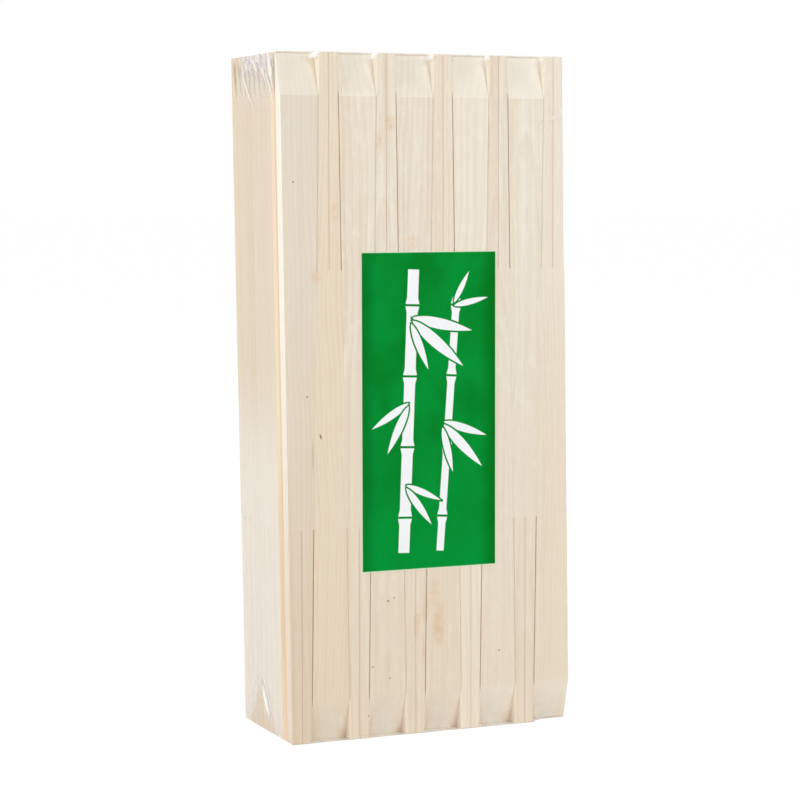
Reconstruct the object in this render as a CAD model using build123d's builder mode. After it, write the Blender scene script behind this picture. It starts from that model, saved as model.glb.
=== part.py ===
import os

from build123d import *

# A wrapped pack of unsplit wooden chopstick pairs, standing on one end.
# Z runs along the sticks, the labelled front faces -Y, sizes are in millimetres.

# One unsplit pair: a flat blank that tapers from its head to its tip
pair_length = 240.0
pair_thickness = 4.92
head_width = 14.1
tip_width = 7.4

# The slant cut that thins the front of the head to a blunt edge
slant_length = 15.0
slant_edge = 0.7

# The planed tip, where a blade has parted the two sticks and their long edges are eased
tip_length = 75.0
split_width = 0.04
split_chamfer = 0.12
edge_chamfer = 0.55

# The stack: pairs lie head to tip in each layer, with all slant cuts to the front
columns = 10
layers = 10
pair_gap = 0.03

# The paper label under the film, centred on the front
label_width = 52.0
label_height = 112.5
label_thickness = 0.12
label_bottom = 58.8

# The clear film, drawn tight around the stack and closed at both ends
film_thickness = 0.06
film_gap = 0.05

# Places that follow from the sizes above
column_pitch = (head_width + tip_width) / 2 + pair_gap
layer_pitch = pair_thickness + pair_gap
film_room = film_gap + label_thickness + film_gap
base = film_thickness + film_room
row_width = columns * column_pitch - pair_gap
stack_depth = layers * layer_pitch - pair_gap
front = -stack_depth / 2
lean = (head_width - tip_width) / 4
joint_width = tip_width + (head_width - tip_width) * tip_length / pair_length

# The pair stands on its tip here, with its front face on the XZ plane
with BuildPart() as pair:
    with BuildSketch(Plane.XZ):
        with BuildLine():
            Polyline(
                (-tip_width / 2, 0),
                (tip_width / 2, 0),
                (joint_width / 2, tip_length),
                (-joint_width / 2, tip_length),
                close=True,
            )
        make_face()
    extrude(amount=-pair_thickness)

    # Blade cut between the two sticks, open through the thickness
    with BuildSketch(Plane.XZ):
        Rectangle(split_width, tip_length, align=(Align.CENTER, Align.MIN))
    extrude(amount=-pair_thickness, mode=Mode.SUBTRACT)

    # Eased long edges: the inner ones run straight, the outer ones lean with the taper
    chamfer(pair.edges().filter_by(Axis.Z), length=split_chamfer)
    outer_edges = pair.edges().filter_by(Axis.Z, reverse=True)
    chamfer(outer_edges.filter_by(lambda edge: edge.length > tip_length), length=edge_chamfer)

    # Shank and head, still in one piece
    with BuildSketch(Plane.XZ):
        with BuildLine():
            Polyline(
                (-joint_width / 2, tip_length),
                (joint_width / 2, tip_length),
                (head_width / 2, pair_length),
                (-head_width / 2, pair_length),
                close=True,
            )
        make_face()
    extrude(amount=-pair_thickness)

    # Slant cut across the front of the head
    with BuildSketch(Plane.YZ):
        with BuildLine():
            Polyline(
                (0, pair_length - slant_length),
                (pair_thickness - slant_edge, pair_length),
                (0, pair_length),
                close=True,
            )
        make_face()
    extrude(amount=head_width, both=True, mode=Mode.SUBTRACT)

# The label lies flat on the front layer
with BuildPart() as label:
    with BuildSketch(Plane.XZ.offset(film_gap - front)):
        with Locations((0, base + label_bottom)):
            Rectangle(label_width, label_height, align=(Align.CENTER, Align.MIN))
    extrude(amount=label_thickness)

# The film follows the stack, whose rows lean by half the difference of head and tip
with BuildPart() as film:
    with BuildSketch(Plane.XZ.offset(film_room - front)):
        with BuildLine():
            Polyline(
                (-row_width / 2 + lean - film_room, film_thickness),
                (row_width / 2 + lean + film_room, film_thickness),
                (row_width / 2 - lean + film_room, base + pair_length + film_room),
                (-row_width / 2 - lean - film_room, base + pair_length + film_room),
                close=True,
            )
        make_face()
    extrude(amount=-stack_depth - 2 * film_room)
    contents = film.part
    offset(amount=film_thickness, kind=Kind.INTERSECTION)
    add(contents, mode=Mode.SUBTRACT)

os.makedirs("parts", exist_ok=True)
label.part.label = "label"
export_step(label.part, "parts/label.step")
film.part.label = "film"
export_step(film.part, "parts/film.step")

# Every pair that shows through the film is a piece by itself, the hidden ones go by layer
for layer in range(layers):
    hidden = []
    for column in range(columns):
        x = (column - (columns - 1) / 2) * column_pitch
        y = front + layer * layer_pitch
        head_up = Location((x, y, base))
        head_down = Location((x, y, base + pair_length), (0, 180, 0))
        placed = pair.part.moved(head_down if column % 2 else head_up)
        if layer == 0:
            placed.label = f"pair_front_{column + 1:02d}"
        elif layer == layers - 1:
            placed.label = f"pair_back_{column + 1:02d}"
        elif column == 0:
            placed.label = f"pair_left_{layer + 1:02d}"
        elif column == columns - 1:
            placed.label = f"pair_right_{layer + 1:02d}"
        else:
            hidden.append(placed)
            continue
        export_step(placed, f"parts/{placed.label}.step")
    if hidden:
        core = Compound(label=f"pairs_hidden_{layer + 1:02d}", children=hidden)
        export_step(core, f"parts/{core.label}.step")
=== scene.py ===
import math
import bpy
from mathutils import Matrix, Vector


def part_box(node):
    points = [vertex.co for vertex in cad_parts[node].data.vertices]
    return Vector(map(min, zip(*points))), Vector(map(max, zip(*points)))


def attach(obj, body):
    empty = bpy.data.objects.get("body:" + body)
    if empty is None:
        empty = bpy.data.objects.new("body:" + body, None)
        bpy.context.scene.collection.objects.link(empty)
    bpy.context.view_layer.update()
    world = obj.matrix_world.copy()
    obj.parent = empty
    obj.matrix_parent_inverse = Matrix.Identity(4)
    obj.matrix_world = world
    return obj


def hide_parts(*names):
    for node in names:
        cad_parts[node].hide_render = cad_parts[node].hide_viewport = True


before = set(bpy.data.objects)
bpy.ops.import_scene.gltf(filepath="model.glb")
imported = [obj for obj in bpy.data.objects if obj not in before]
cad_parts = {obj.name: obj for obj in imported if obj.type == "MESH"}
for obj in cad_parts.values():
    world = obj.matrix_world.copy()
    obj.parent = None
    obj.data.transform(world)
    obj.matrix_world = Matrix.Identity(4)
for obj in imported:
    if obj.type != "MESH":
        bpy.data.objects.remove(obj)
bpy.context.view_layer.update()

from types import SimpleNamespace

import bmesh
import bpy
import numpy as np
from mathutils import Vector

MM = 0.001


def box_of(node):
    """Lowest and highest corner of a solid, in millimetres."""
    return [np.array(corner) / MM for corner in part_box(node)]


# Sizes of the stack in millimetres, read from the solids
first_low, first_high = box_of("pair_front_01")
COLUMNS = sum(name.startswith("pair_front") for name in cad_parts)
LAYERS = sum(name.startswith("pair_left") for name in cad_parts) + 2
MIDDLE_COLUMN = (COLUMNS - 1) / 2
HEAD_WIDTH, THICKNESS, PAIR_LENGTH = (first_high - first_low).tolist()
COLUMN_PITCH = float(box_of("pair_front_02")[0][0] - first_low[0])
LAYER_PITCH = float(box_of("pair_back_01")[0][1] - first_low[1]) / (LAYERS - 1)
PAIR_GAP = LAYER_PITCH - THICKNESS
TIP_WIDTH = 2 * (COLUMN_PITCH - PAIR_GAP) - HEAD_WIDTH
FRONT, BASE = first_low[1:].tolist()
TOP = BASE + PAIR_LENGTH
LEAN = (HEAD_WIDTH - TIP_WIDTH) / 4

# Lengths along a pair: its slant cut and its eased tip
SLANT_LENGTH = 15.0
TIP_LENGTH = 75.0

# The narrow sides are pale below the first height and of full tone above the second
PALE_BELOW, FULL_ABOVE = 90.0, 135.0

# At the foot of each narrow side the film gathers into a tent: height, distance of its middle
# from the front, and steepness
TENT_HEIGHT, TENT_MIDDLE, TENT_STEEPNESS = 19.0, 30.0, 1.3

# The film: radius of its edges, and how far it sags over a slant cut, between two tips and
# at a free corner of the pack
FILM_ROUNDING = 0.9
SAG, FREE_SAG = 1.5, 3.9

# Straight steps in the bend of a fold
FOLD_STEPS = 12

# How far the paper label waves to and fro
LABEL_WAVE = 0.012


# Materials

class Value:
    """A number or colour that a material works out, written as plain maths."""

    def __init__(self, finish, socket):
        self.finish = finish
        self.socket = socket

    def math(self, operation, *others):
        return self.finish.node("ShaderNodeMath", {"operation": operation}, others)

    def __add__(self, other):
        return self.math("ADD", self, other)

    def __radd__(self, other):
        return self.math("ADD", other, self)

    def __sub__(self, other):
        return self.math("SUBTRACT", self, other)

    def __rsub__(self, other):
        return self.math("SUBTRACT", other, self)

    def __mul__(self, other):
        return self.math("MULTIPLY", self, other)

    def __rmul__(self, other):
        return self.math("MULTIPLY", other, self)

    def __truediv__(self, other):
        return self.math("DIVIDE", self, other)

    def __rtruediv__(self, other):
        return self.math("DIVIDE", other, self)

    def __pow__(self, other):
        return self.math("POWER", self, other)

    def __abs__(self):
        return self.math("ABSOLUTE", self)

    def __lt__(self, other):
        return self.math("LESS_THAN", self, other)

    def __gt__(self, other):
        return self.math("GREATER_THAN", self, other)

    def floor(self):
        return self.math("FLOOR", self)

    def fract(self):
        return self.math("FRACT", self)

    def least(self, other):
        return self.math("MINIMUM", self, other)

    def most(self, other):
        return self.math("MAXIMUM", self, other)

    def ramp(self, low, high, start=0.0, end=1.0):
        """Runs smoothly from start to end as the value goes from low to high."""
        settings = {"interpolation_type": "SMOOTHSTEP"}
        return self.finish.node("ShaderNodeMapRange", settings, (self, low, high, start, end))

    def within(self, edge, soft=0.06):
        """1 where the value is below edge, with a soft step."""
        return self.ramp(edge - soft, edge + soft, 1.0, 0.0)


class Finish:
    """The nodes of a material or of the world."""

    def __init__(self, owner, output="ShaderNodeOutputMaterial"):
        owner.use_nodes = True
        self.owner = owner
        self.tree = owner.node_tree
        self.tree.nodes.clear()
        self.output = output

    def node(self, kind, settings=None, sockets=(), output=0):
        """Adds a node, sets it up, feeds its sockets and gives one of its outputs."""
        node = self.tree.nodes.new(kind)
        for name, setting in (settings or {}).items():
            setattr(node, name, setting)
        fed = sockets.items() if isinstance(sockets, dict) else enumerate(sockets)
        for key, value in fed:
            socket = node.inputs[key]
            if isinstance(value, Value):
                self.tree.links.new(value.socket, socket)
            elif socket.type == "RGBA":
                socket.default_value = (*value, 1.0)
            else:
                socket.default_value = value
        if isinstance(output, (list, tuple)):
            return [Value(self, node.outputs[name]) for name in output]
        return Value(self, node.outputs[output]) if node.outputs else None

    def place(self):
        """The point on the object in millimetres, whole and as x, y and z."""
        spot = self.node("ShaderNodeTexCoord", output="Object")
        sockets = {0: spot, "Scale": 1 / MM}
        whole = self.node("ShaderNodeVectorMath", {"operation": "SCALE"}, sockets)
        return [whole, *self.parts(whole)]

    def facing(self):
        """Which way the surface faces: to the right, to the back and up."""
        return self.parts(self.node("ShaderNodeNewGeometry", output="Normal"))

    def parts(self, vector):
        return self.node("ShaderNodeSeparateXYZ", None, [vector], (0, 1, 2))

    def vector(self, x, y, z):
        return self.node("ShaderNodeCombineXYZ", None, (x, y, z))

    def shifted(self, vector, offset):
        return self.node("ShaderNodeVectorMath", {"operation": "ADD"}, (vector, offset))

    def noise(self, vector, stretch, detail=2.0, roughness=0.5):
        """Cloudy noise, with the place stretched along x, y and z."""
        settings = {"operation": "MULTIPLY"}
        place = self.node("ShaderNodeVectorMath", settings, (vector, stretch))
        sockets = {"Vector": place, "Scale": 1.0, "Detail": detail, "Roughness": roughness}
        return self.node("ShaderNodeTexNoise", {"noise_dimensions": "3D"}, sockets)

    def chance(self, vector):
        """Four random numbers that stay the same all over a cell."""
        settings, outputs = {"noise_dimensions": "3D"}, ("Value", "Color")
        one, mixed = self.node("ShaderNodeTexWhiteNoise", settings, {"Vector": vector}, outputs)
        return [one, *self.node("ShaderNodeSeparateColor", None, [mixed], (0, 1, 2))]

    def blend(self, factor, first, second):
        """A colour between first and second."""
        sockets = {0: factor, 6: first, 7: second}
        return self.node("ShaderNodeMix", {"data_type": "RGBA"}, sockets, 2)

    def bump(self, height, strength):
        sockets = {"Strength": strength, "Distance": 0.2 * MM, "Height": height}
        return self.node("ShaderNodeBump", None, sockets)

    def surface(self, shader):
        self.node(self.output, None, {"Surface": shader})
        return self.owner


def colour(red, green, blue):
    """A colour given as it shows on a screen, from 0 to 255, as linear light."""
    levels = [level / 255 for level in (red, green, blue)]
    return tuple(v / 12.92 if v <= 0.04045 else ((v + 0.055) / 1.055) ** 2.4 for v in levels)


class Paint:
    """A colour that is built up in thin coats."""

    def __init__(self, finish, shade):
        self.finish = finish
        self.shade = shade

    def coat(self, amount, red, green, blue):
        self.shade = self.finish.blend(amount, self.shade, colour(red, green, blue))


# Small dark specks on the front: place across and up, length, tilt in degrees and strength
SPECKS = (
    (10.4, 238.4, 0.8, 0, 0.75),
    (-46.2, 121.8, 0.8, 0, 0.75),
    (-50.9, 195.8, 0.7, 30, 0.75),
    (-16.0, 48.5, 1.1, 60, 0.75),
    (-13.7, 49.5, 0.6, 0, 0.75),
    (-21.9, 25.4, 0.6, 0, 0.75),
    (-15.4, 20.9, 0.6, 0, 0.75),
    (-23.5, 8.0, 0.8, 0, 0.75),
    (27.4, 27.7, 0.7, 0, 0.75),
    (-41.2, 107.8, 2.2, 16, 0.85),
    (-44.1, 101.2, 13.0, 0, 0.25),
)
SPECK_HALF_WIDTH = 0.32

# Soft tan stains on the front: place across and up, half width, half height and strength
STAINS = (
    (3.6, 39.0, 2.4, 8.0, 0.6),
    (1.8, 51.0, 2.6, 5.0, 0.35),
    (-1.6, 45.0, 1.6, 6.0, 0.35),
    (-5.0, 39.5, 1.4, 6.0, 0.4),
    (-2.2, 29.5, 0.9, 5.0, 0.4),
    (-14.8, 216.2, 2.0, 3.0, 0.5),
    (-18.9, 209.3, 1.1, 4.0, 0.5),
    (-35.8, 185.5, 1.6, 4.0, 0.35),
    (-6.4, 174.5, 2.4, 3.0, 0.4),
    (-42.6, 162.9, 2.0, 3.0, 0.35),
)

# Columns of other timber, from the left: number, strength and colour
COLUMN_TIMBER = (
    (0, 0.5, (219, 204, 181)),
    (1, 0.5, (228, 209, 180)),
    (5, 0.15, (228, 209, 180)),
    (6, 0.4, (241, 234, 218)),
    (9, 0.25, (230, 214, 188)),
)

# Layers of other timber in the left column, from the front: number, strength and colour
LEFT_TIMBER = (
    (1, 0.8, (246, 224, 190)),
    (2, 0.15, (242, 214, 175)),
    (6, 0.5, (224, 200, 170)),
    (9, 0.3, (238, 214, 178)),
)


def pair_place(f):
    """Which pair of the stack a point belongs to, and where on that pair it lies."""
    at = SimpleNamespace()
    at.point, at.x, at.y, at.z = f.place()
    at.rightward, at.backward, at.upward = f.facing()

    # The pairs taper, so the border between a head-up pair and its neighbours leans
    period = 2 * COLUMN_PITCH
    along = (at.x + MIDDLE_COLUMN * COLUMN_PITCH) / period
    nearest = (along + 0.5).floor()
    widening = (HEAD_WIDTH - TIP_WIDTH) / 2 / PAIR_LENGTH
    border = (at.z - BASE) * widening + (TIP_WIDTH + PAIR_GAP) / 2
    at.head_up = abs((along - nearest) * period) < border
    at.column = nearest * 2 * at.head_up + (along.floor() * 2 + 1) * (1 - at.head_up)
    deep = (at.y - FRONT + PAIR_GAP / 2) / LAYER_PITCH
    at.layer = deep.floor()
    at.tone, at.turn, at.warmth, at.depth = f.chance(f.vector(at.column, at.layer, 3.0))

    at.from_axis = at.x - (at.column - MIDDLE_COLUMN) * COLUMN_PITCH
    at.from_head = at.head_up * (TOP - at.z) + (1 - at.head_up) * (at.z - BASE)
    at.from_edge = HEAD_WIDTH / 2 - at.from_head * widening - abs(at.from_axis)
    at.into = deep.fract() * LAYER_PITCH
    at.from_face = at.into.least(LAYER_PITCH - at.into)

    # The first layer and those behind the second, the outer half of the two end columns,
    # faces that look sideways, and the sawn ends
    at.first_layer = at.layer < 0.5
    at.behind = at.layer > 1.5
    at.outside = abs(at.x) > MIDDLE_COLUMN * COLUMN_PITCH
    at.side = abs(at.rightward).ramp(0.85, 0.95)
    at.end = abs(at.upward).ramp(0.6, 0.95)
    return at


def wood_grain(f, at):
    """Growth rings, fibres and mottling: each pair was sawn from another place of the log."""
    place = f.shifted(at.point, f.vector(at.turn * 90, at.warmth * 90, at.depth * 400))
    waver = f.noise(place, (0.03, 0.03, 0.008))
    straight = at.x + at.y * (at.turn * 2.8 - 1.4) + at.z * (at.depth - 0.5) * 0.016 + waver * 14
    arched = at.z * 0.05 + at.from_axis * at.from_axis * 0.1 + at.y * 0.5 + waver * 16
    flat_sawn = at.depth > 0.7
    rings = (arched * flat_sawn + straight * (1 - flat_sawn)) / (1.1 + 1.5 * at.warmth)
    strength = f.chance(f.vector(rings.floor(), at.column, at.layer))[0]
    phase = rings.fract()
    late = phase.ramp(0.2, 0.9) * phase.ramp(0.9, 1.0, 1.0, 0.0) * (0.2 + 0.8 * strength)
    return SimpleNamespace(
        late=late * (1 - 0.6 * flat_sawn),
        fibre=f.noise(place, (2.4, 2.4, 0.04), 3.0, 0.6),
        hair=f.noise(place, (6.0, 6.0, 0.12)),
        fleck=f.noise(place, (0.5, 0.5, 0.16)),
        cloud=f.noise(place, (0.07, 0.07, 0.016)),
        mottle=f.noise(place, (0.28, 0.28, 0.5), 3.0, 0.6),
        streak=f.noise(place, (0.4, 0.4, 0.007)),
    )


def timber(f, at, grain):
    """Pale softwood, warmer low down by painted warm bounce light, and here and there a pair of
    other timber.
    """
    paint = Paint(f, f.blend(at.warmth, colour(232, 227, 215), colour(232, 223, 206)))
    paint.coat(at.tone * 0.4, 229, 215, 196)
    paint.coat(grain.cloud.ramp(0.35, 0.7, 0.0, 0.35), 229, 215, 194)
    paint.coat(grain.streak.ramp(0.5, 0.7, 0.0, 0.4), 221, 203, 178)
    paint.coat(grain.streak.ramp(0.3, 0.5, 0.4, 0.0), 238, 234, 225)
    paint.coat(grain.late * (0.26 + 0.3 * at.depth), 206, 184, 156)
    paint.coat(grain.fibre.ramp(0.5, 0.78, 0.0, 0.42), 212, 192, 166)
    paint.coat(grain.fleck.ramp(0.52, 0.75, 0.0, 0.28), 244, 238, 225)
    paint.coat(grain.hair.ramp(0.55, 0.8, 0.0, 0.24), 200, 175, 145)
    paint.coat(grain.mottle.ramp(0.5, 0.78, 0.0, 0.16), 222, 200, 170)
    # Painted warm bounce light from the floor, strongest at the foot
    paint.coat(at.z.ramp(0.0, 190.0, 0.4, 0.0), 226, 209, 186)

    for number, amount, shade in COLUMN_TIMBER:
        paint.coat((abs(at.column - number) < 0.5) * amount, *shade)
    for number, amount, shade in LEFT_TIMBER:
        chosen = (at.column < 0.5) * (abs(at.layer - number) < 0.5)
        paint.coat(chosen * amount, *shade)

    # In front the first pair is darker low down, most of all at its left edge, and pale
    # high up. The last column is pale high up too
    first = (at.column < 0.5) * at.first_layer
    rim = (at.from_axis < 0) * at.from_edge.ramp(0.6, 2.4, 0.25, 0.0)
    paint.coat(first * at.z.ramp(40.0, 120.0, 1.0, 0.0) * (rim + 0.12), 206, 176, 142)
    paint.coat(first * at.z.ramp(110.0, 170.0, 0.0, 0.3), 226, 219, 209)
    last = at.column > COLUMNS - 1.5
    paint.coat(last * at.z.ramp(110.0, 200.0, 0.0, 0.22), 243, 236, 227)
    return paint


def worked_edges(at, paint):
    """Eased edges and the blade cut: a little darker, the eased edges by painted shade in their
    grooves, but pale on the edges that face left, a painted highlight.
    """
    tip = at.from_head > PAIR_LENGTH - TIP_LENGTH
    bare = tip * (1 - 0.85 * at.outside * at.behind)
    eased = bare * at.from_edge.most(at.from_face).ramp(0.1, 0.8, 1.0, 0.0)
    leftward = at.rightward.ramp(-0.7, -0.3, 1.0, 0.0)
    # Painted highlight on eased edges that face left, painted shade on the others
    paint.coat(eased * leftward * (1 - at.outside) * 0.6, 252, 240, 222)
    paint.coat(eased * (1 - leftward) * 0.24, 230, 186, 146)
    paint.coat(tip * abs(at.from_axis).ramp(0.05, 0.7, 0.25, 0.0), 228, 186, 158)


def slant_cuts(at, mottle, paint):
    """The front's slant cuts: paler by painted light, with painted shade and warm bounce light to
    the right, and a painted dark line along the sawn end.
    """
    half = HEAD_WIDTH / 2
    down, later = 1 - at.head_up, at.column > 0.5
    # Painted light: the slant cuts are paler, the upper ones most as they face the light from
    # above, and the last columns too
    lit_slant = at.first_layer * (at.from_head < SLANT_LENGTH)
    pale = 0.2 + 0.2 * at.head_up + 0.2 * (at.column > COLUMNS - 3.5)
    paint.coat(lit_slant * pale, 242, 236, 224)

    slant = at.first_layer * at.from_head.ramp(1.0, SLANT_LENGTH - 3.0, 1.0, 0.0)
    corner = at.from_axis.ramp(half - 6.0, half - 0.6) * slant
    # Painted shade with warm bounce light in the corner beside the next tip, mottled; on the
    # upper cuts past the first column painted light lifts it instead
    warm_corner_shade = mottle.ramp(0.35, 0.6, 0.2, 0.55) * (1 - 0.8 * at.head_up * later)
    paint.coat(corner * warm_corner_shade, 240, 216, 178)
    paint.coat(corner * at.head_up * (0.2 + 0.4 * later), 254, 249, 240)
    # Painted shade in the lower corners of the slant cuts beside the tips
    low_corner = corner * corner * down * (1 - at.outside)
    paint.coat(low_corner * at.from_head.ramp(0.5, 7.0, 0.6, 0.0), 200, 158, 114)
    paint.coat(slant * down * mottle.ramp(0.46, 0.7, 0.0, 0.25), 212, 182, 146)
    # Painted shade: a dark line where the film bends over the sawn end of the upper heads
    sawn = at.from_head.ramp(0.2, 0.8, 0.45, 0.0)
    paint.coat(at.first_layer * at.head_up * sawn, 178, 150, 124)


def narrow_sides(at, paint):
    """The pack's narrow sides: paler low down, and the first two layers of other tones, the first
    a painted highlight.
    """
    z = at.z
    tent = (TENT_HEIGHT - z - abs(at.y - FRONT - TENT_MIDDLE) * TENT_STEEPNESS).ramp(-2.0, 3.0)
    around = at.outside * abs(at.rightward).ramp(0.4, 0.7)
    low = z.ramp(PALE_BELOW, FULL_ABOVE, 0.5, 0.0)
    paint.coat(around * at.behind * low * (1 - 0.8 * tent), 243, 239, 231)
    paint.coat(around * tent * 0.3, 224, 200, 170)

    # The first layer is pale on the left, a painted highlight of the film over the front edge,
    # the others turn warmer high up
    flank = at.side * at.outside
    left = flank * (at.x < 0)
    paint.coat(left * at.first_layer * z.ramp(30.0, 190.0, 0.4, 0.9), 254, 247, 235)
    paint.coat(flank * at.behind * z.ramp(PALE_BELOW, FULL_ABOVE, 0.0, 0.25), 226, 206, 174)

    # Here and there a darker line runs along a pair, golden on the second layer at the left
    line = at.from_face.ramp(0.0, 0.9, 1.0, 0.0) * z.ramp(PALE_BELOW, FULL_ABOVE, 0.3, 1.0)
    paint.coat(flank * at.behind * line * at.tone.ramp(0.3, 1.0, 0.0, 0.55), 214, 190, 158)
    second = left * (abs(at.layer - 1) < 0.5)
    paint.coat(second * at.into.ramp(0.4, 2.2, 0.75, 0.0), 228, 190, 136)
    tanned = z.ramp(45.0, 120.0, 0.5, 0.0) * z.ramp(0.0, 40.0, 0.3, 1.0)
    paint.coat(second * tanned, 214, 178, 134)


def walls_and_ends(at, late, paint):
    """Walls between the pairs and recesses between the layers are painted pale, painted light
    that lifts their shade; sawn ends are dark.
    """
    # Painted light on the walls between the pairs, lifting the shade in the gaps, most beside the
    # slant cuts
    wall = at.side * (1 - at.outside) * at.first_layer
    beside_slant = (at.from_head > PAIR_LENGTH - SLANT_LENGTH) * (1 - at.head_up)
    paint.coat(wall * beside_slant.ramp(0.0, 1.0, 0.55, 0.7), 247, 236, 221)
    # Painted light in the recesses between the layers, lifting their shade
    back = (at.layer > LAYERS - 1.5) * (at.backward > 0.5)
    recess = (at.layer > 0.5) * (1 - back) * (at.from_head < SLANT_LENGTH)
    paint.coat(recess * (1 - at.side) * (1 - at.end) * 0.8, 249, 234, 211)
    paint.coat(at.end * (0.25 + 0.5 * late), 200, 170, 134)


def speck_mask(x, z, speck):
    """A fine speck, longer along its tilt than across it."""
    across, up, length, tilt, strength = speck
    turn = math.radians(tilt)
    du, dv = x - across, z - up
    side = (du * math.cos(turn) + dv * math.sin(turn)) / SPECK_HALF_WIDTH
    run = (dv * math.cos(turn) - du * math.sin(turn)) / (length / 2)
    return (side * side + run * run).ramp(0.3, 1.3, strength, 0.0)


def marks(at, mottle, paint):
    """Stains and small specks on the front."""
    for across, up, wide, tall, amount in STAINS:
        du, dv = (at.x - across) / wide, (at.z - up) / tall
        stain = (du * du + dv * dv).ramp(0.0, 1.6, amount, 0.0)
        paint.coat(at.first_layer * stain * mottle.ramp(0.38, 0.6, 0.35, 1.0), 218, 182, 142)
    for speck in SPECKS:
        paint.coat(at.first_layer * speck_mask(at.x, at.z, speck), 112, 78, 48)


def wood_finish():
    """Planed pale softwood, as it looks on each pair of the stack."""
    f = Finish(bpy.data.materials.new("planed pale wood"))
    at = pair_place(f)
    grain = wood_grain(f, at)
    paint = timber(f, at, grain)
    worked_edges(at, paint)
    slant_cuts(at, grain.mottle, paint)
    narrow_sides(at, paint)
    walls_and_ends(at, grain.late, paint)
    marks(at, grain.mottle, paint)
    shader = f.node("ShaderNodeBsdfPrincipled", None, {
        "Base Color": paint.shade,
        "Roughness": grain.fibre.ramp(0.2, 0.8, 0.66, 0.54),
        "Normal": f.bump(grain.fibre * 0.6 + grain.hair * 0.4, 0.1),
        "Specular IOR Level": 0.2,
    })
    return f.surface(shader)


# Leaves of the label's bamboo spray: foot across and up, length and direction in degrees
LEAVES = (
    (-6.5, 33.0, 24.0, -12.0),
    (-6.5, 32.0, 26.0, -40.0),
    (-7.0, 31.0, 18.0, -68.0),
    (9.5, 38.0, 13.0, 62.0),
    (9.5, 37.0, 14.0, 12.0),
    (-8.0, 3.0, 17.0, -148.0),
    (-8.0, 2.0, 19.0, -116.0),
    (5.5, -4.0, 18.0, -18.0),
    (5.5, -5.0, 22.0, -46.0),
    (5.0, -6.0, 17.0, -76.0),
    (-9.0, -26.0, 15.0, -24.0),
    (-9.0, -27.0, 17.0, -54.0),
)

# Its two stems: foot and top across and up, and width
STEMS = ((-10.0, -50.0, -6.0, 50.0, 4.2), (4.0, -50.0, 10.5, 40.0, 2.8))
STEM_JOINT = 25.0


def stem_mask(u, v, stem):
    """A bamboo stem, parted and a little flared at each joint."""
    foot_u, foot_v, top_u, top_v, width = stem
    length = math.hypot(top_u - foot_u, top_v - foot_v)
    across, up = (top_v - foot_v) / length, (top_u - foot_u) / length
    run = (u - foot_u) * up + (v - foot_v) * across
    side = (u - foot_u) * across - (v - foot_v) * up
    joint = abs((run / STEM_JOINT).fract() - 0.5) * STEM_JOINT
    half = width / 2 + joint.ramp(0.4, 3.0, 0.5, 0.0)
    reach = abs(run - length / 2).within(length / 2)
    return (abs(side) - half).within(0.0) * joint.ramp(0.34, 0.46) * reach


def leaf_masks(u, v, leaf):
    """A slim pointed leaf, and the same leaf with a margin around it."""
    foot_u, foot_v, length, direction = leaf
    turn = math.radians(direction)
    du, dv = u - foot_u, v - foot_v
    run = (du * math.cos(turn) + dv * math.sin(turn)) / length
    side = dv * math.cos(turn) - du * math.sin(turn)
    inside = run.most(0.0).least(1.0)
    half = (inside ** 0.7) * (1 - inside) * length * 0.27
    reach = abs(run - 0.5).within(0.53, 0.01)
    gap = abs(side) - half
    return gap.within(-0.12) * reach, gap.within(0.5) * reach


def label_finish(centre, width, height):
    """Green printed paper with a plain white spray of bamboo."""
    f = Finish(bpy.data.materials.new("green printed paper"))
    point, x, _, z = f.place()
    u, v = x - centre[0], z - centre[1]
    edge = (width / 2 - abs(u)).least(height / 2 - abs(v))

    mottle = f.noise(point, (0.07, 0.07, 0.05))
    fibre = f.noise(point, (1.6, 1.6, 1.1), 3.0)
    paint = Paint(f, f.blend(mottle.ramp(0.3, 0.7), colour(0, 124, 36), colour(0, 143, 52)))
    paint.coat(fibre.ramp(0.5, 0.8, 0.0, 0.1), 14, 156, 70)
    paint.coat(v.ramp(-height / 2, 0.0, 0.6, 0.0), 0, 152, 60)
    paint.coat((u + width / 2).ramp(0.0, 7.0, 0.7, 0.0), 0, 106, 36)
    paint.coat((width / 2 - u).ramp(0.0, 8.0, 0.9, 0.0), 0, 110, 24)

    # The print, and the paper's cut edge
    white = stem_mask(u, v, STEMS[0]).most(stem_mask(u, v, STEMS[1]))
    for leaf in LEAVES:
        blade, margin = leaf_masks(u, v, leaf)
        white = (white * (1 - margin)).most(blade)
    paint.coat(white, 242, 244, 246)
    paint.coat(edge.ramp(0.1, 0.5, 1.0, 0.0), 222, 238, 210)

    shader = f.node("ShaderNodeBsdfPrincipled", None, {
        "Base Color": paint.shade,
        "Roughness": fibre.ramp(0.2, 0.8, 0.5, 0.6),
        "Normal": f.bump(fibre, 0.05),
        "Specular IOR Level": 0.02,
    })
    return f.surface(shader)


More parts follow.
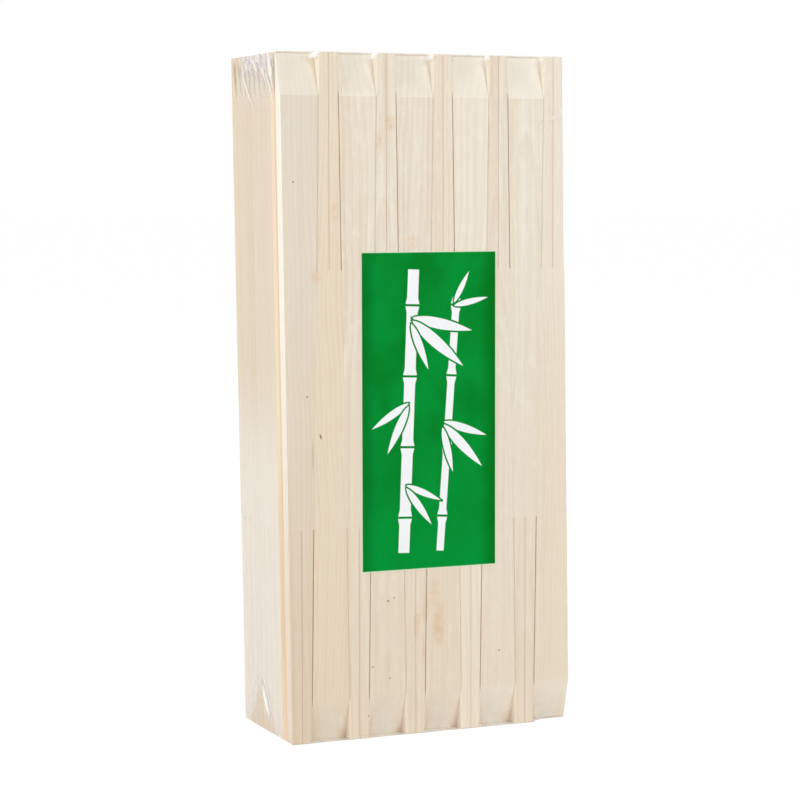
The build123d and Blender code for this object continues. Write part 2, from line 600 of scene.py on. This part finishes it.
def film_finish():
    """Clear shrink film: nothing face on, glossy at a slant, milky where it gathers, and white
    where glints are painted.
    """
    f = Finish(bpy.data.materials.new("clear shrink film"))
    point, _, _, z = f.place()
    rightward, _, upward = f.facing()
    slant = f.node("ShaderNodeLayerWeight", None, {"Blend": 0.5}, "Facing")
    milk_and_glint = f.node("ShaderNodeAttribute", {"attribute_name": "milk_and_glint"}, output="Fac")
    crinkle = f.noise(point, (0.5, 0.5, 0.05), 3.0)
    haze_and_glint = milk_and_glint * crinkle.ramp(0.3, 0.7, 0.85, 1.1)

    # White, creamy in the upper ears, mauve in places towards their top, and warm underneath, a
    # painted reflection of the wood
    narrow = abs(rightward).ramp(0.5, 0.9)
    mauve = f.noise(point, (0.4, 0.4, 0.3)).ramp(0.42, 0.62)
    paint = Paint(f, colour(252, 250, 247))
    paint.coat(narrow * z.ramp(TOP - 40.0, TOP - 20.0), 252, 246, 238)
    paint.coat(narrow * mauve * z.ramp(TOP - 13.0, TOP - 2.0), 218, 209, 218)
    paint.coat(upward.ramp(-0.9, -0.5, 1.0, 0.0) * z.within(1.5), 242, 230, 210)

    gloss = f.node("ShaderNodeBsdfPrincipled", None, {
        "Base Color": paint.shade,
        "Metallic": upward.ramp(0.5, 0.9, 0.0, 0.5),
        "Roughness": haze_and_glint.ramp(0.0, 0.6, 0.1, 0.3),
    })
    clear = f.node("ShaderNodeBsdfTransparent")
    share = (haze_and_glint + 0.001 + 0.35 * slant ** 4).least(0.96)
    return f.surface(f.node("ShaderNodeMixShader", None, (share, clear, gloss)))


# Pieces

def piece(name, mesh, material, node):
    obj = bpy.data.objects.new(name, mesh)
    bpy.context.collection.objects.link(obj)
    mesh.materials.append(material)
    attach(obj, "root")
    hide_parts(node)
    return obj


def mesh_of(name, points, faces, smooth):
    bm = bmesh.new()
    corners = [bm.verts.new(point) for point in points]
    for face in faces:
        bm.faces.new([corners[i] for i in face])
    mesh = bpy.data.meshes.new(name)
    bm.to_mesh(mesh)
    bm.free()
    mesh.polygons.foreach_set("use_smooth", [smooth] * len(mesh.polygons))
    return mesh


def shell_of(xs, ys, zs):
    """Points and faces of a box's skin, with the given places along its three edges."""
    found = {}
    places = []

    def at(*key):
        if key not in found:
            found[key] = len(places)
            places.append([line[i] for line, i in zip((xs, ys, zs), key)])
        return found[key]

    nx, ny, nz = (len(line) - 1 for line in (xs, ys, zs))
    faces = []
    for i in range(nx):
        for k in range(nz):
            faces.append((at(i, 0, k), at(i + 1, 0, k), at(i + 1, 0, k + 1), at(i, 0, k + 1)))
            faces.append((at(i, ny, k), at(i, ny, k + 1), at(i + 1, ny, k + 1), at(i + 1, ny, k)))
    for j in range(ny):
        for k in range(nz):
            faces.append((at(0, j, k), at(0, j, k + 1), at(0, j + 1, k + 1), at(0, j + 1, k)))
            faces.append((at(nx, j, k), at(nx, j + 1, k), at(nx, j + 1, k + 1), at(nx, j, k + 1)))
    for i in range(nx):
        for j in range(ny):
            faces.append((at(i, j, 0), at(i, j + 1, 0), at(i + 1, j + 1, 0), at(i + 1, j, 0)))
            faces.append((at(i, j, nz), at(i + 1, j, nz), at(i + 1, j + 1, nz), at(i, j + 1, nz)))
    return np.array(places), faces


def label_sheet():
    """The paper label: flat on the sticks, with a slight wave."""
    low, high = box_of("label")
    width, _, height = (high - low).tolist()
    centre = ((low[0] + high[0]) / 2, (low[2] + high[2]) / 2)
    p, faces = shell_of(
        np.linspace(low[0], high[0], 53),
        np.array([low[1], high[1]]),
        np.linspace(low[2], high[2], 114),
    )
    across, up = p[:, 0] - centre[0], p[:, 2] - centre[1]
    p[:, 1] += LABEL_WAVE * np.sin(across * 0.21 + 1.0) * np.sin(up * 0.09)
    mesh = mesh_of("label_paper", (p * MM).tolist(), faces, False)
    paper = label_finish(centre, width, height)
    obj = piece("label_paper", mesh, paper, "label")


def smooth(value, low, high):
    """0 below low, 1 above high, and smooth between."""
    t = np.clip((value - low) / (high - low), 0.0, 1.0)
    return t * t * (3 - 2 * t)


def fold(a, b, start, middle, end, width):
    """Height of a fold that bends from start through middle to end and fades at both."""
    t = np.linspace(0.0, 1.0, FOLD_STEPS + 1)[:, None]
    start, middle, end = (np.array(spot) for spot in (start, middle, end))
    pull = 2 * middle - (start + end) / 2
    line = (1 - t) ** 2 * start + 2 * t * (1 - t) * pull + t ** 2 * end
    nearest = np.full(len(a), 1e9)
    run = np.zeros(len(a))
    for number, (one, two) in enumerate(zip(line[:-1], line[1:])):
        step = two - one
        share = ((a - one[0]) * step[0] + (b - one[1]) * step[1]) / (step @ step)
        share = np.clip(share, 0.0, 1.0)
        away = np.hypot(a - one[0] - share * step[0], b - one[1] - share * step[1])
        run = np.where(away < nearest, (number + share) / FOLD_STEPS, run)
        nearest = np.minimum(nearest, away)
    thin = np.sin(np.pi * np.clip(run, 0.03, 0.97)) ** 0.6
    return np.exp(-(nearest / (width * (0.35 + 0.65 * thin))) ** 2) * thin


# Folds of the gathered film on the narrow sides, at the top and at the foot: start, middle
# and end as distance from the front edge and from the end, then width and brightness, which
# paints both the fold's milkiness and its glint
TOP_FOLDS = (
    ((37.5, 2.0), (33.9, 10.7), (23.9, 20.7), 0.7, 0.6),
    ((12.0, 0.2), (9.0, 4.5), (7.0, 9.0), 1.7, 1.0),
    ((4.6, 0.2), (4.2, 4.0), (3.2, 11.0), 0.7, 0.8),
    ((14.0, 7.0), (9.5, 11.6), (7.0, 16.5), 0.6, 0.6),
    ((11.0, 6.5), (7.6, 10.0), (5.2, 15.0), 0.6, 0.6),
    ((22.0, 2.5), (17.0, 5.5), (13.6, 10.5), 0.8, 0.75),
    ((20.5, 0.3), (19.0, 2.0), (17.8, 3.6), 0.7, 0.8),
    ((27.0, 0.5), (25.0, 3.0), (20.5, 7.5), 0.5, 0.5),
    ((31.5, 0.5), (29.6, 4.0), (25.5, 9.5), 0.5, 0.4),
    ((34.5, 1.0), (32.6, 5.0), (29.5, 10.0), 0.5, 0.35),
)
FOOT_FOLDS = (
    ((30.2, 17.0), (25.4, 10.4), (21.6, 5.4), 1.9, 1.1),
    ((30.6, 20.5), (34.6, 15.5), (37.6, 4.0), 0.45, 0.35),
    ((31.6, 20.0), (39.0, 14.5), (41.0, 5.0), 0.5, 0.35),
    ((29.6, 20.5), (23.6, 14.0), (19.4, 4.0), 0.5, 0.45),
    ((30.0, 19.5), (31.8, 12.0), (32.4, 3.0), 0.4, 0.3),
    ((42.5, 8.5), (43.0, 5.5), (42.8, 2.5), 0.5, 0.3),
)


def places_along(low, high, pitch, edge, fine):
    """Places from low to high, pitch apart, and fine apart within edge of both ends."""
    near = np.arange(0.0, edge - fine / 2, fine)
    count = int(round((high - low - 2 * edge) / pitch)) + 1
    between = np.linspace(low + edge, high - edge, count)
    return np.concatenate([low + near, between, (high - near)[::-1]])


def film_skin():
    """The film before it sags and folds: a box around the stack with rounded edges."""
    half_x, half_y, tall = box_of("film")[1] - (LEAN, 0.0, 0.0)
    zs = places_along(0.0, tall, 4.0, 24.0, 0.5)
    box, faces = shell_of(
        places_along(-half_x, half_x, 1.1, 2.4, 0.4),
        places_along(-half_y, half_y, 0.5, 2.4, 0.4),
        np.unique(np.concatenate([zs, [0.25, tall - 0.25]])),
    )
    middle = np.array([0.0, 0.0, tall / 2])
    core = np.array([half_x, half_y, tall / 2]) - FILM_ROUNDING
    core = np.clip(box - middle, -core, core)
    out = box - middle - core
    out /= np.linalg.norm(out, axis=1)[:, None]
    points = middle + core + FILM_ROUNDING * out

    # x, y and z follow the points when these are moved, the distances don't
    x, y, z = points.T
    return SimpleNamespace(
        points=points, faces=faces, out=out, half_x=half_x, half_y=half_y, x=x, y=y, z=z,
        from_top=tall - z,
        from_front=y + half_y,
        shear=LEAN * (1 - 2 * (z - BASE) / PAIR_LENGTH),
        on_front=smooth(-out[:, 1], 0.6, 0.95),
        on_sides=smooth(np.abs(out[:, 0]), 0.6, 0.95),
        on_top=smooth(out[:, 2], 0.6, 0.95),
        on_foot=smooth(-out[:, 2], 0.6, 0.95),
    )


def sag_of(skin):
    """How far the film sags between the tips, over the slant cut of each head."""
    sag = np.zeros(len(skin.points))
    for column in range(COLUMNS):
        head_up = column % 2 == 0
        axis = (column - MIDDLE_COLUMN) * COLUMN_PITCH + (LEAN if head_up else -LEAN)
        from_end = skin.from_top if head_up else skin.z
        across = (skin.x - axis) / (HEAD_WIDTH / 2)
        if column == 0:
            across = np.maximum(across, 0.0)
        if column == COLUMNS - 1:
            across = np.minimum(across, 0.0)
        bowl = np.clip(1 - np.abs(across) ** 2.6, 0, None)
        if column in (0, COLUMNS - 1):
            depth = FREE_SAG * (1 - smooth(from_end, -2.0, SLANT_LENGTH))
        else:
            depth = SAG * (1 - smooth(from_end, 0.0, SLANT_LENGTH)) * smooth(from_end, -1.0, 4.0)
        sag = np.maximum(sag, depth * bowl)
    return sag


def recess_milk(skin, sag):
    """Over and under the lower slant cuts the film is drawn from tip to tip and looks milky; over
    the cuts this is partly a painted reflection of the floor.
    """
    under = skin.on_foot * 0.95 * (1 - smooth(skin.from_front, 4.5, 7.0))
    return under + skin.on_front * 0.2 * smooth(sag, 0.0, 0.8) * (1 - smooth(skin.z, 9.0, 15.0))


def tip_glints(skin):
    """A bright glint beside the left corner of each tip at the top, weaker to the right."""
    milk_and_glint = np.zeros(len(skin.points))
    for column in range(1, COLUMNS, 2):
        corner = (column - MIDDLE_COLUMN) * COLUMN_PITCH + LEAN - TIP_WIDTH / 2
        spots = (corner + 0.6, -0.4), (corner - 0.8, 0.9), (corner - 2.8, 2.2)
        milk_and_glint += (1.25 - 0.09 * column) * fold(skin.x, skin.from_top, *spots, 1.0)
    return milk_and_glint * (skin.out[:, 1] < -0.2)


def ears(skin):
    """The film's spare width folds together on the narrow sides: height, and milkiness with
    painted glints.
    """
    push, milk_and_glint = np.zeros((2, len(skin.points)))
    for rise, folds in ((skin.from_top, TOP_FOLDS), (skin.z, FOOT_FOLDS)):
        for start, bend, end, width, bright in folds:
            line = fold(skin.from_front, rise, start, bend, end, width)
            push += 0.3 * line * smooth(rise, 0.0, 1.5)
            milk_and_glint += 0.85 * bright * line

    # The upper ears are crumpled in the middle and lie under a thin veil
    a, b = skin.from_front, skin.from_top
    crumple = np.abs(np.sin(a * 1.9 + 2.0 * np.sin(b * 0.8)) * np.sin(b * 1.7 + a * 0.6))
    zone = (1 - smooth(b, 4.0, 9.0)) * smooth(a, 11.0, 16.0) * (1 - smooth(a, 33.0, 37.0))
    veil = (1 - smooth(b, 9.0, 24.0)) * smooth(a, 3.0, 8.0) * (1 - smooth(a, 38.0, 43.0))
    push += 0.25 * zone * crumple
    milk_and_glint += zone * (0.1 + 0.3 * crumple) + 0.35 * veil

    # Low down the narrow sides are milky, but less within the tent of film at the foot
    tent = smooth(TENT_HEIGHT - skin.z - np.abs(a - TENT_MIDDLE) * TENT_STEEPNESS, -2.0, 3.0)
    low = (1 - smooth(skin.z, 10.0, 150.0)) * smooth(a, 7.0, 16.0)
    milk_and_glint += (0.02 + 0.19 * low) * (1 - 0.6 * tent)
    return push * skin.on_sides, milk_and_glint * skin.on_sides


def end_seam(skin):
    """The seam across the closed top, and creases beside it: height and milkiness."""
    x, y = skin.x, skin.y
    ridge = np.exp(-(y / 0.7) ** 2) * (1 - smooth(np.abs(x), skin.half_x - 6, skin.half_x - 1))
    creases = np.abs(np.sin(x * 0.37 + 1.1 * np.sin(y * 0.21))) ** 6
    creases *= smooth(skin.half_y - np.abs(y), 0.5, 8.0)
    push, milk_and_glint = 0.45 * ridge + 0.22 * creases, 0.4 * ridge + 0.16 * creases
    return push * skin.on_top, milk_and_glint * skin.on_top


def front_crease(skin):
    """A short crease near the right edge of the front: height and milkiness."""
    across = skin.x + skin.shear
    crease = fold(across, skin.z, (41.5, 216.0), (46.5, 217.8), (53.0, 218.2), 0.5)
    flap = fold(across, skin.z, (45.5, 217.4), (50.0, 219.4), (53.5, 220.6), 1.3)
    push, milk_and_glint = 0.3 * (crease + flap), 0.15 * crease + 0.35 * flap
    return push * skin.on_front, milk_and_glint * skin.on_front


def slow_waves(skin):
    """Slow waves of the film all over, but not on its foot."""
    x, y, z = skin.x, skin.y, skin.z
    wave = 0.5 + 0.5 * np.sin(x * 0.11 + 0.7) * np.sin(z * 0.043 + x * 0.02) * np.cos(y * 0.13)
    return 0.05 * wave * (1 - smooth(-skin.out[:, 2], 0.3, 0.6))


def shrink_film():
    """The film as one closed skin over the stack, with its sags, folds and gathered ears."""
    skin = film_skin()
    sag = sag_of(skin)
    skin.points[:, 1] += sag * (1 - smooth(skin.from_front, 0.5, 9.0))
    push, milk_and_glint = slow_waves(skin), recess_milk(skin, sag) + tip_glints(skin)
    for height, haze_and_glint in (ears(skin), end_seam(skin), front_crease(skin)):
        push += height
        milk_and_glint += haze_and_glint

    # The foot stays on the floor and the skin leans with the rows
    p = skin.points + push[:, None] * skin.out
    p[:, 0] += skin.shear
    p[:, 2] = np.maximum(p[:, 2], 0.05 + 0.2 * smooth(-skin.out[:, 2], 0.8, 0.99))
    mesh = mesh_of("film_wrap", (p * MM).tolist(), skin.faces, True)
    layer = mesh.attributes.new("milk_and_glint", "FLOAT", "POINT")
    layer.data.foreach_set("value", np.clip(milk_and_glint, 0, 1))
    piece("film_wrap", mesh, film_finish(), "film")


wood = wood_finish()
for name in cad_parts:
    if name.startswith("pair"):
        bpy.data.objects[name].data.materials.clear()
        bpy.data.objects[name].data.materials.append(wood)
label_sheet()
shrink_film()


# Studio

WHITE = (1.0, 1.0, 1.0)

# The floor: half its width in metres, its glow, and the share of glow that the camera sees
FLOOR_HALF, FLOOR_GLOW, GLOW_SHARE = 30.0, 1.08, 0.86

# Lamps: name, place, aim, width and height in metres, and power in watts
LAMPS = (
    ("key", (0.75, -1.3, 1.0), (0, 0, 0.14), (0.9, 0.6), 7.8),
    ("left", (-1.5, -0.35, 0.6), (0, 0, 0.12), (0.5, 0.9), 10.1),
    ("low fill", (0.5, -1.4, 0.15), (0, 0, 0.05), (1.0, 0.25), 2.6),
    ("back", (0.5, 1.5, 0.7), (0, 0, 0.12), (0.9, 0.7), 7.0),
)


def seen_directly(f):
    """1 for what the camera sees, straight or through gloss and film, and 0 for other light."""
    rays = ("Is Camera Ray", "Is Glossy Ray", "Is Transmission Ray")
    camera_ray, glossy, through = f.node("ShaderNodeLightPath", output=rays)
    return camera_ray.most(glossy).most(through)


def floor():
    """A wide white floor that glows a little for the camera and keeps the pack's shadow."""
    half = FLOOR_HALF
    corners = [(-half, -half, 0), (half, -half, 0), (half, half, 0), (-half, half, 0)]
    mesh = mesh_of("floor", corners, [(0, 1, 2, 3)], False)
    obj = bpy.data.objects.new("floor", mesh)
    bpy.context.collection.objects.link(obj)
    f = Finish(bpy.data.materials.new("white floor"))
    paint = f.node("ShaderNodeBsdfDiffuse", None, {"Color": (0.96, 0.95, 0.93)})
    glow = f.node("ShaderNodeEmission", None, {"Color": WHITE, "Strength": FLOOR_GLOW})
    share = seen_directly(f) * GLOW_SHARE
    mixed = f.node("ShaderNodeMixShader", None, (share, paint, glow))
    mesh.materials.append(f.surface(mixed))


def white_world(strength):
    f = Finish(bpy.data.worlds.new("white studio"), "ShaderNodeOutputWorld")
    level = seen_directly(f).ramp(0.0, 1.0, strength, 1.0)
    light = f.node("ShaderNodeBackground", None, {"Color": WHITE, "Strength": level})
    bpy.context.scene.world = f.surface(light)


def softbox(name, place, aim, size, power):
    lamp = bpy.data.lights.new(name, "AREA")
    lamp.shape = "RECTANGLE"
    lamp.size, lamp.size_y = size
    lamp.energy = power
    obj = bpy.data.objects.new(name, lamp)
    bpy.context.collection.objects.link(obj)
    obj.location = place
    obj.rotation_euler = (Vector(aim) - Vector(place)).to_track_quat("-Z", "Y").to_euler()


floor()
white_world(0.5)
for lamp in LAMPS:
    softbox(*lamp)

# Camera, fitted to the seams and corners in the photograph
CAMERA_PLACE = (-0.3459, -0.8056, 0.1909)
LENS = 109.22
YAW, PITCH, ROLL = 23.21, 4.80, 0.14
camera = bpy.data.cameras.new("camera")
camera.lens = LENS
camera.sensor_width = 36.0
view = bpy.data.objects.new("camera", camera)
bpy.context.collection.objects.link(view)
view.location = CAMERA_PLACE
view.rotation_euler = (math.radians(90 - PITCH), math.radians(ROLL), math.radians(-YAW))
bpy.context.scene.camera = view
bpy.context.scene.view_settings.view_transform = "Standard"
